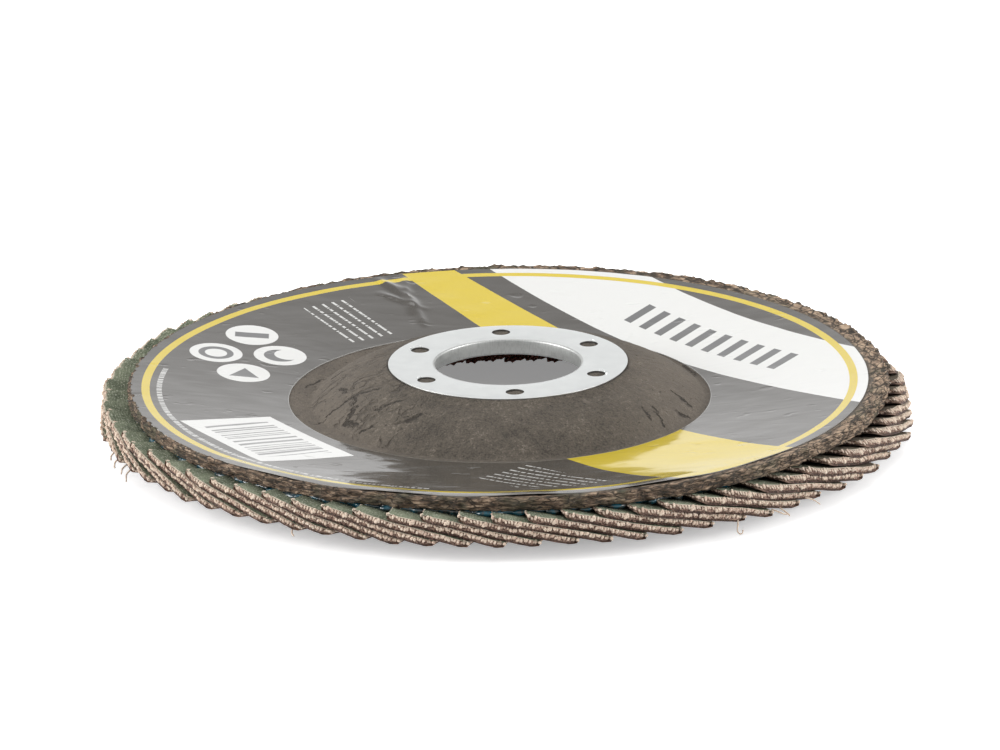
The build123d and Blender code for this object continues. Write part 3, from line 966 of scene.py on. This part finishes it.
def flap_mesh():
    """One flap as a closed grid, finest along its outer edge, with its place in the cloth as an attribute."""
    steps = [step - HALF_LENGTH for step in (0, 5.4, 11.4, 16.4, 19.4, 21.8, 23.4, 24.4, 25.0, FLAP_LENGTH)]
    across_steps = list(np.linspace(-HALF_WIDTH, HALF_WIDTH, 41))
    depths = [0, CLOTH_SHARE, 1]
    corners, places, faces, index = [], [], [], {}

    def vertex(i, j, k):
        key = (i, j, k)
        if key not in index:
            index[key] = len(places)
            along, across, depth = steps[i], across_steps[j], depths[k]
            places.append((along, across, depth))
            if i == len(steps) - 1:
                along -= worn_back(across) + (GRAIN_SET_BACK if k == 2 else CLOTH_SET_BACK)
                along -= 0.10 * abs(rough(across, depth, 0, 0.8, 71, 3))
            if i == 0:
                along -= 0.9 + 1.7 * abs(rough(across, 0.3 * k, 4, 1.1, 73, 3))
            corners.append(flap_point(along, across, depth))
        return index[key]

    def quad(*keys):
        faces.append([vertex(*key) for key in keys])

    last_i, last_j, last_k = len(steps) - 1, len(across_steps) - 1, len(depths) - 1
    for i in range(last_i):
        for j in range(last_j):
            quad((i, j, 0), (i + 1, j, 0), (i + 1, j + 1, 0), (i, j + 1, 0))
            quad((i, j + 1, last_k), (i + 1, j + 1, last_k), (i + 1, j, last_k), (i, j, last_k))
    for k in range(last_k):
        for j in range(last_j):
            quad((last_i, j, k), (last_i, j, k + 1), (last_i, j + 1, k + 1), (last_i, j + 1, k))
            quad((0, j + 1, k), (0, j + 1, k + 1), (0, j, k + 1), (0, j, k))
        for i in range(last_i):
            quad((i, 0, k), (i, 0, k + 1), (i + 1, 0, k + 1), (i + 1, 0, k))
            quad((i + 1, last_j, k), (i + 1, last_j, k + 1), (i, last_j, k + 1), (i, last_j, k))
    made = mesh_object("flap_fan", corners, faces)
    made.data.polygons.foreach_set("use_smooth", [False] * len(faces))
    attribute = made.data.attributes.new("cloth_place", "FLOAT_VECTOR", "POINT")
    attribute.data.foreach_set("vector", [value for place in places for value in place])
    return made


def start_tree(name, inputs):
    """A geometry tree with named inputs, its geometry first and its material last."""
    tree = bpy.data.node_groups.new(name, "GeometryNodeTree")
    kinds = {float: "NodeSocketFloat", int: "NodeSocketInt", tuple: "NodeSocketVector"}
    tree.interface.new_socket("Geometry", in_out="INPUT", socket_type="NodeSocketGeometry")
    for socket_name, value in inputs.items():
        socket = tree.interface.new_socket(socket_name, in_out="INPUT", socket_type=kinds[type(value)])
        socket.default_value = value
    tree.interface.new_socket("Material", in_out="INPUT", socket_type="NodeSocketMaterial")
    tree.interface.new_socket("Geometry", in_out="OUTPUT", socket_type="NodeSocketGeometry")
    wires = Wiring(tree)
    return tree, wires, wires.node("NodeGroupInput").outputs


def uneven(wires, seed, seed_step, amount):
    """A random number between plus and minus an amount, one for each instance."""
    random = wires.node("FunctionNodeRandomValue", None, Seed=wires.math("ADD", seed, float(seed_step)))
    random.inputs[2].default_value, random.inputs[3].default_value = -1.0, 1.0
    return wires.times(random.outputs[1], amount)


def uneven_place(wires, seed, seed_step, amount):
    """Three such numbers, one along each axis."""
    return wires.combine(*[uneven(wires, seed, seed_step + axis, amount) for axis in range(3)])


def realised(wires, instances, name, value):
    """Stores a number on each instance under a name, then turns the instances into one mesh."""
    settings, values = {"domain": "INSTANCE"}, {"Geometry": instances, "Name": name, "Value": value}
    kept = wires.node("GeometryNodeStoreNamedAttribute", settings, **values)
    return wires.node("GeometryNodeRealizeInstances", None, i0=kept.outputs[0]).outputs[0]


def end_tree(wires, geometry, material):
    finish = wires.node("GeometryNodeSetMaterial", None, Geometry=geometry, Material=material)
    wires.node("NodeGroupOutput", None, i0=finish.outputs[0])


# The fan: one flap's worth of a piece, set round the disc. Each copy is a little out of true, the outer
# edges curl together in slow waves, and a fine raggedness keeps two copies from being alike.
fan, wires, given = start_tree(
    "fan_of_flaps",
    {
        "Pitch": FLAP_PITCH, "First Turn": FLAP_TURN, "Uneven Turn": 0.007, "Uneven Reach": 0.0004,
        "Curl": 0.0016, "Curl Radius": 0.056, "Rim Radius": 0.0622, "Fray": 0.00012,
        "High Side": (-0.00055, 0.0, 0.0), "Off Centre": (-0.0004, 0.0, 0.0),
        "Worn Side": (0.95, -0.10, 0.0), "Worn In": 0.0026, "Count": FLAP_COUNT, "Seed": 7,
    },
)
points = wires.node("GeometryNodePoints", None, Count=given["Count"])
placed = wires.node("GeometryNodeInstanceOnPoints", None, Points=points.outputs[0], Instance=given["Geometry"])
index = wires.node("GeometryNodeInputIndex").outputs[0]
turn = wires.times_add(index, given["Pitch"], given["First Turn"])
turn = wires.combine(z=wires.math("ADD", turn, uneven(wires, given["Seed"], 0, given["Uneven Turn"])))
rotated = wires.node("GeometryNodeRotateInstances", None, Instances=placed.outputs[0], Rotation=turn)
reach = wires.combine(uneven(wires, given["Seed"], 1, given["Uneven Reach"]))
moved = wires.node("GeometryNodeTranslateInstances", None, Instances=rotated.outputs[0], Translation=reach)
real = realised(wires, moved.outputs[0], "flap_shade", uneven(wires, given["Seed"], 2, 1.0))
position = wires.node("GeometryNodeInputPosition").outputs[0]
flat = wires.flat(position)
curled_part = {"From Min": given["Curl Radius"], "From Max": given["Rim Radius"]}
near_rim = wires.node("ShaderNodeMapRange", None, Value=wires.length(flat), **curled_part).outputs[0]
waves = wires.node("ShaderNodeTexNoise", None, Vector=flat, Scale=70.0, Detail=1.0).outputs[0]
lift = wires.times(wires.math("SUBTRACT", waves, 0.52), near_rim, given["Curl"])
heading = wires.vector("NORMALIZE", flat)
lift = wires.times_add(wires.dot(heading, given["High Side"]), near_rim, lift)
curl = wires.vector("ADD", wires.combine(z=lift), wires.scale(given["Off Centre"], near_rim))
height = wires.separate(position)[2]
high = wires.node("ShaderNodeMapRange", None, Value=height, i1=0.0050, i2=0.0073, i3=0.0, i4=1.0).outputs[0]
worn = wires.times(wires.math("MAXIMUM", wires.dot(heading, given["Worn Side"]), 0.10), given["Worn In"])
curl = wires.vector("SUBTRACT", curl, wires.scale(heading, wires.times(worn, high, near_rim)))
ragged = wires.vector("SUBTRACT", wires.noise_vector(position, 1400.0, 1.0), (0.5, 0.5, 0.5))
offset = wires.vector("ADD", curl, wires.scale(ragged, wires.times(near_rim, given["Fray"])))
curled = wires.node("GeometryNodeSetPosition", None, Geometry=real, Offset=offset)
end_tree(wires, curled.outputs[0], given["Material"])


def grown(piece, tree, material, **inputs):
    """Runs a tree of nodes on a piece, and keeps the result as a plain mesh."""
    modifier = piece.modifiers.new(tree.name, "NODES")
    modifier.node_group = tree
    values = {"Material": material, **{name.replace("_", " "): value for name, value in inputs.items()}}
    for item in tree.interface.items_tree:
        if item.in_out == "INPUT" and item.name in values:
            modifier[item.identifier] = values[item.name]
    evaluated = piece.evaluated_get(bpy.context.evaluated_depsgraph_get())
    whole = bpy.data.meshes.new_from_object(evaluated)
    piece.modifiers.remove(modifier)
    piece.data = whole
    return piece


# Yarn: the over and under of a plain weave, by the place in the cloth
plain_weave, wires, given, result = start_group(
    "plain_weave", {"Place": ORIGIN, "Pitch": YARN_PITCH}, ("Height",)
)
along, across, _ = wires.separate(given["Place"])
half_turn = wires.math("DIVIDE", math.pi, given["Pitch"])
warp = wires.math("SINE", wires.times(along, half_turn))
weft = wires.math("SINE", wires.times(across, half_turn))
crowns = wires.math("ABSOLUTE", wires.times(warp, weft))
wires.join(wires.math("POWER", crowns, 0.6), result["Height"])

cloth, wires, shader, place = start_material("coated_cloth", Roughness=0.9, Specular_IOR_Level=0.25)
cloth_place = wires.stored("cloth_place")["Vector"]
flap_shade = wires.stored("flap_shade")["Fac"]
along, across, depth = wires.separate(cloth_place)
wavered = wires.vector("ADD", cloth_place, wires.scale(wires.noise_vector(place, 0.9), 0.9))
weave = wires.group(plain_weave, Place=wavered, Pitch=YARN_PITCH)["Height"]
fuzz = wires.noise(place, 0.32, 4.0, 0.75)
clouds = wires.noise(place, 4.0, 3.0, 0.6)
nap = wires.times(wires.step(fuzz, 0.46, 0.66), wires.step(weave, 0.2, 0.9))
frayed = wires.times_add(wires.noise(place, 0.8), 0.9, along)
back = wires.layered(
    SIZING_DARK,
    (wires.step(clouds, 0.30, 0.70), SIZING_GREEN),
    (nap, NAP_PALE),
    (wires.times_add(flap_shade, 0.12, 0.12), SIZING_GREEN),
    # painted shade: the backs turn brown towards the right of the disc, for the shadow between the flaps there
    (wires.step(wires.separate(place)[0], 34.0, 52.0, 0.0, 0.72), GRAIN_AND_SHADE_BROWN),
    (wires.step(frayed, HALF_LENGTH - 0.10, HALF_LENGTH + 0.35, 0.0, 0.8), YARN_CREAM),
)
cut = wires.mix(wires.step(fuzz, 0.40, 0.70), GRAIN_AND_SHADE_BROWN, YARN_PINK)
grit = wires.node("ShaderNodeTexVoronoi", None, Vector=place, Scale=5.5)
grit_shade = wires.node("ShaderNodeSeparateColor", None, i0=grit.outputs["Color"]).outputs[0]
at_corner = wires.step(wires.math("ABSOLUTE", across), HALF_WIDTH - 1.5, HALF_WIDTH - 0.5, 0.0, 0.5)
at_corner = wires.times(at_corner, wires.step(along, HALF_LENGTH - 2.4, HALF_LENGTH - 1.0))
grain = wires.layered(
    GRAIN_DARK,
    (wires.step(grit_shade, 0.2, 0.9), GRAIN_AND_SHADE_BROWN),
    (wires.step(grit_shade, 0.90, 0.96, 0.0, 0.7), GRAIN_GLINT),
    (at_corner, YARN_PINK),
)
on_back = wires.step(depth, 0.10, 0.02)
in_grain = wires.step(depth, CLOTH_SHARE - 0.04, CLOTH_SHARE + 0.03)
inner_end = wires.step(along, 0.06 - HALF_LENGTH, 0.02 - HALF_LENGTH)
colour = wires.mix(in_grain, wires.mix(on_back, cut, back), grain)
colour = wires.mix(inner_end, colour, wires.mix(wires.step(fuzz, 0.45, 0.60), END_RED, GRAIN_DARK))
wires.join(colour, shader.inputs["Base Color"])
wires.join(wires.times_add(in_grain, -0.28, 0.92), shader.inputs["Roughness"])
height = wires.times_add(weave, 0.10, wires.times(fuzz, 0.22))
grit_height = wires.times(grit.outputs["Distance"], -0.12)
height = wires.node("ShaderNodeMix", None, i0=in_grain, i2=height, i3=grit_height).outputs[0]
wires.bump(height, shader)

flaps = grown(flap_mesh(), fan, cloth, Fray=0.0001)
for vertex in flaps.data.vertices:
    vertex.co.z = max(vertex.co.z, 0.0)  # the inner ends are bent flat by the table
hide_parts(*[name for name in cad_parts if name.startswith("flaps_")])
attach(flaps, "root")

# Yarn ends: where a flap is cut, the ends of its yarn stand out as a row of small beads, and here and
# there one has pulled loose. They are the same cloth, and no more than half a millimetre proud.
END_LENGTH = 0.38
END_RADIUS = 0.215
END_SIDES = 6
OUTER_STRETCH = 1.55           # how much taller than wide the outer ends are, through the opened cloth
SIDE_STRETCH = 0.95
YARN_PALE = (0.80, 0.74, 0.65, 1)


def yarn_end_mesh(name, outwards, stretch):
    """One yarn's blunt end, six-sided, pointing outwards along an axis from the part's origin."""
    outwards = outwards.normalized()
    side = outwards.cross(out_axis).normalized()
    up = side.cross(outwards)
    rings = ((0.0, 0.8), (0.45, 1.05), (0.85, 0.62))
    vertices = []
    for reach, width in rings:
        for corner in range(END_SIDES):
            turn = 2 * math.pi * corner / END_SIDES
            sideways = side * math.cos(turn) + up * (stretch * math.sin(turn))
            vertices.append(tuple(outwards * (END_LENGTH * reach) + sideways * (END_RADIUS * width)))
    vertices.append(tuple(outwards * END_LENGTH))
    faces = [tuple(reversed(range(END_SIDES)))]
    for corner in range(END_SIDES):
        after = (corner + 1) % END_SIDES
        for ring in (0, END_SIDES):
            faces.append((ring + corner, ring + after, ring + after + END_SIDES, ring + corner + END_SIDES))
        faces.append((2 * END_SIDES + corner, 2 * END_SIDES + after, 3 * END_SIDES))
    return merge_doubles(mesh_object(name, vertices, faces))


# A row of ends along one cut edge of one flap, each a little different in size, place and tilt
row, wires, given = start_tree(
    "row_of_yarn_ends",
    {
        "Start": ORIGIN, "Step": ORIGIN, "Worn Back": ORIGIN, "Uneven Place": 0.00008, "Uneven Size": 0.32,
        "Uneven Tilt": 0.8, "Upper Wear": UPPER_WEAR, "Count": 40, "Seed": 1,
    },
)
index = wires.node("GeometryNodeInputIndex").outputs[0]
place_of_index = wires.scale(given["Step"], index)
jitter = uneven_place(wires, given["Seed"], 0, given["Uneven Place"])
along_row = wires.math("DIVIDE", index, wires.math("SUBTRACT", given["Count"], 1.0))
from_middle = wires.math("ABSOLUTE", wires.times_add(along_row, 2.0, -1.0))
past = wires.math("MAXIMUM", wires.math("SUBTRACT", from_middle, WEAR_FROM), 0.0)
past = wires.math("POWER", wires.math("DIVIDE", past, 1 - WEAR_FROM), 2.0)
lower = wires.math("GREATER_THAN", along_row, 0.5)
past = wires.times(past, wires.math("MAXIMUM", lower, given["Upper Wear"]))
start_place = wires.vector("ADD", given["Start"], wires.vector("ADD", place_of_index, jitter))
start_place = wires.vector("SUBTRACT", start_place, wires.scale(given["Worn Back"], past))
points = wires.node("GeometryNodePoints", None, Count=given["Count"], Position=start_place)
size = wires.math("ADD", uneven(wires, given["Seed"], 6, given["Uneven Size"]), 1.0)
on_points = {"Points": points.outputs[0], "Instance": given["Geometry"], "Scale": size}
placed = wires.node("GeometryNodeInstanceOnPoints", None, **on_points)
tilt = uneven_place(wires, given["Seed"], 3, given["Uneven Tilt"])
tilted = wires.node("GeometryNodeRotateInstances", None, Instances=placed.outputs[0], Rotation=tilt)
real = realised(wires, tilted.outputs[0], "yarn_shade", uneven(wires, given["Seed"], 7, 1.0))
end_tree(wires, real, given["Material"])

yarn, wires, shader, place = start_material("cut_yarn", Roughness=0.95, Specular_IOR_Level=0.2)
yarn_shade = wires.stored("yarn_shade")["Fac"]
flap_shade = wires.stored("flap_shade")["Fac"]
twist = wires.noise(place, 0.14, 3.0, 0.7)
patches = wires.noise(place, 3.0, 2.0)
colour = wires.mix(wires.step(twist, 0.40, 0.58), YARN_PINK, YARN_CREAM)
pinker = wires.step(wires.times_add(yarn_shade, 0.12, patches), 0.56, 0.66, 0.0, 0.6)
paler = wires.step(wires.times_add(flap_shade, 0.10, twist), 0.62, 0.72, 0.0, 0.8)
colour = wires.mix(paler, wires.mix(pinker, colour, YARN_PINK), YARN_PALE)
wires.join(colour, shader.inputs["Base Color"])
wires.bump(wires.times(twist, 0.10), shader)


def yarn_row(name, outwards, first, last, seed, stretch=SIDE_STRETCH, wear=0.0):
    """A row of ends from one place in the first flap to another, a yarn's pitch apart."""
    first, last = Vector(flap_point(*first)), Vector(flap_point(*last))
    count = int((last - first).length / YARN_PITCH)
    step = (last - first) / count * MM
    one_end = yarn_end_mesh(name, outwards, stretch)
    places = {"Start": tuple(first * MM), "Step": tuple(step), "Worn Back": tuple(outwards * (wear * MM))}
    return grown(one_end, row, yarn, Count=count + 1, Seed=seed, **places)


def joined_with_attributes(name, parts):
    """Joins pieces of one material, which keep what is stored on their points."""
    chosen = {"selected_editable_objects": parts, "selected_objects": parts}
    with bpy.context.temp_override(active_object=parts[0], object=parts[0], **chosen):
        bpy.ops.object.join()
    parts[0].name = parts[0].data.name = name
    return parts[0]


def fan_of_rows(name, rows):
    made = grown(joined_with_attributes(name, rows), fan, yarn, Fray=0.00022)
    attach(made, "root")


outer = HALF_LENGTH - CLOTH_SET_BACK - 0.08
middle = 0.5 * CLOTH_SHARE
corners = [(outer, edge, middle) for edge in (0.1 - HALF_WIDTH, HALF_WIDTH - 0.1)]
fan_of_rows("yarn_ends_outer", [yarn_row("row_outer", along_axis, *corners, 11, OUTER_STRETCH, CORNER_WEAR)])
top_edge, low_edge = 0.16 - HALF_WIDTH, HALF_WIDTH - 0.16
side_rows = [
    yarn_row("row_top", -across_axis, (3.0, top_edge, middle), (outer - 0.5, top_edge, middle), 13),
    yarn_row("row_low", across_axis, (-12.4, low_edge, middle), (outer - 0.4, low_edge, middle), 14),
]
fan_of_rows("yarn_ends_sides", side_rows)

# Loose yarn: single strands that pulled out when the cloth was cut. Each is given as points from its place
# on the disc's edge, in millimetres along the edge, upwards and outwards.
STRAND_RADIUS = 0.13
STRAND_START = 61.6            # radius at which a strand leaves the flaps
STRANDS = (                    # direction in degrees, height, then the points
    (194.0, 3.2, ((0.0, 0.2, -0.6), (0.3, -0.4, 0.2), (0.1, -0.9, 0.5), (0.5, -1.3, 0.5))),
    (196.5, 2.6, ((0.0, 0.3, -0.6), (-0.3, -0.2, 0.3), (0.2, -0.7, 0.6), (0.1, -1.2, 0.6), (0.5, -1.0, 0.6))),
    (199.0, 2.4, ((0.0, 0.2, -0.6), (0.4, -0.2, 0.3), (0.8, -0.5, 0.4), (0.9, -0.9, 0.6))),
    (201.0, 2.4, ((0.0, 0.1, -0.6), (0.2, -0.4, 0.3), (0.5, -1.0, 0.4), (0.5, -1.6, 0.4))),
    (238.0, 2.6, ((0.0, 0.1, -0.6), (0.2, -0.3, 0.3), (0.9, -0.6, 0.5))),
    (303.5, 2.7, (
        (0.0, 0.2, -0.6), (-0.5, -0.5, 0.3), (-0.9, -1.3, 0.5),
        (-0.6, -1.9, 0.8), (-0.1, -1.7, 1.0), (-0.1, -1.2, 0.9),
    )),
    (309.5, 2.8, ((0.0, 0.1, -0.6), (0.6, -0.2, 0.4), (1.4, -0.7, 0.8), (2.2, -0.8, 0.9))),
    (311.0, 2.7, ((0.0, 0.1, -0.6), (0.5, -0.5, 0.4), (0.9, -1.1, 0.7))),
    (316.0, 3.0, ((0.0, 0.1, -0.6), (0.9, -0.2, 0.3), (1.6, -0.9, 0.6), (2.0, -1.2, 0.7))),
    (188.0, 4.3, ((0.0, 0.0, -0.6), (-0.3, 0.4, 0.2), (-0.2, 0.9, 0.5))),
    (338.0, 4.0, ((0.0, 0.0, -0.6), (0.4, 0.3, 0.3), (0.6, 0.8, 0.5))),
)


def strand(degrees, height, points):
    out, tangent = out_and_along(math.radians(degrees))
    base = out * STRAND_START + Vector((0, 0, height))
    curve = bpy.data.curves.new("strand", "CURVE")
    curve.dimensions = "3D"
    curve.bevel_depth = STRAND_RADIUS * MM
    curve.bevel_resolution = 1
    curve.resolution_u = 6
    curve.use_fill_caps = True
    spline = curve.splines.new("NURBS")
    spline.points.add(len(points) - 1)
    for point, (along, up, outwards) in zip(spline.points, points):
        point.co = (*((base + tangent * along + Vector((0, 0, up)) + out * outwards) * MM), 1)
        point.radius = 1.0 - 0.45 * (along**2 + up**2) / 8
    spline.order_u = 3
    spline.use_endpoint_u = True
    made = bpy.data.objects.new("strand", curve)
    bpy.context.scene.collection.objects.link(made)
    mesh = bpy.data.meshes.new_from_object(made.evaluated_get(bpy.context.evaluated_depsgraph_get()))
    bpy.data.objects.remove(made)
    plain = bpy.data.objects.new("strand", mesh)
    bpy.context.scene.collection.objects.link(plain)
    return plain


strands = joined("loose_yarn", [strand(*values) for values in STRANDS])
merge_doubles(strands)
strands.data.materials.append(yarn)
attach(strands, "root")

# The stage is a plain white table that runs out of sight, under a large soft lamp overhead and a wide one
# at each side. Looked at directly or in a reflection, the table and the studio's walls are white.
TABLE_SIZE = 8.0
PAINTED_GLOW_UNDER_DISC = 0.26              # painted light: how much the table glows under the disc
PAINTED_GLOW_AROUND_DISC = 0.62             # and round it in the open, where the glow paints the disc's shadow paler
WALL_LIGHT = 0.50


def lamp(name, place, energy, size):
    data = bpy.data.lights.new(name, "AREA")
    data.energy, data.size = energy, size
    made = bpy.data.objects.new(name, data)
    made.location = place
    made.rotation_euler = (-Vector(place)).to_track_quat("-Z", "Y").to_euler()
    bpy.context.scene.collection.objects.link(made)


lamp("lamp_above", (0.0, 0.4, 1.2), 6.5, 1.2)
lamp("lamp_left", (-1.3, -0.15, 0.50), 19.0, 0.9)
lamp("lamp_right", (1.3, -0.20, 0.50), 14.0, 0.9)

bpy.ops.mesh.primitive_plane_add(size=TABLE_SIZE, location=(0, 0, 0))
table = bpy.context.object
table.name = "table"
table_white, wires, shader, place = start_material("table_white", Roughness=0.8, Base_Color=(0.9, 0.9, 0.9, 1))
rays = wires.node("ShaderNodeLightPath").outputs
seen = wires.math("MAXIMUM", rays["Is Camera Ray"], rays["Is Glossy Ray"])
# Painted light: the table glows for the camera and in reflections, less under the disc than round it
table_painted_glow = wires.step(wires.length(place), 45.0, 68.0, PAINTED_GLOW_UNDER_DISC, PAINTED_GLOW_AROUND_DISC)
shader.inputs["Emission Color"].default_value = (1, 1, 1, 1)
wires.join(wires.times(seen, table_painted_glow), shader.inputs["Emission Strength"])

# Seen from below, the table is left out
from_below = wires.node("ShaderNodeNewGeometry").outputs["Backfacing"]
wires.join(wires.math("SUBTRACT", 1.0, from_below), shader.inputs["Alpha"])
table.data.materials.append(table_white)

world = bpy.data.worlds.new("studio")
bpy.context.scene.world = world
world.use_nodes = True
wires = Wiring(world.node_tree)
rays = wires.node("ShaderNodeLightPath").outputs
upwards = wires.separate(wires.node("ShaderNodeTexCoord").outputs["Generated"])[2]
mirrored = wires.step(upwards, 0.2, 0.7, 1.0 - WALL_LIGHT, 0.45 - WALL_LIGHT)
strength = wires.times_add(rays["Is Glossy Ray"], mirrored, WALL_LIGHT)
strength = wires.times_add(rays["Is Camera Ray"], 1.0 - WALL_LIGHT, strength)
sky = world.node_tree.nodes["Background"]
sky.inputs["Color"].default_value = (1, 1, 1, 1)
wires.join(strength, sky.inputs["Strength"])
bpy.context.scene.view_settings.view_transform = "Standard"
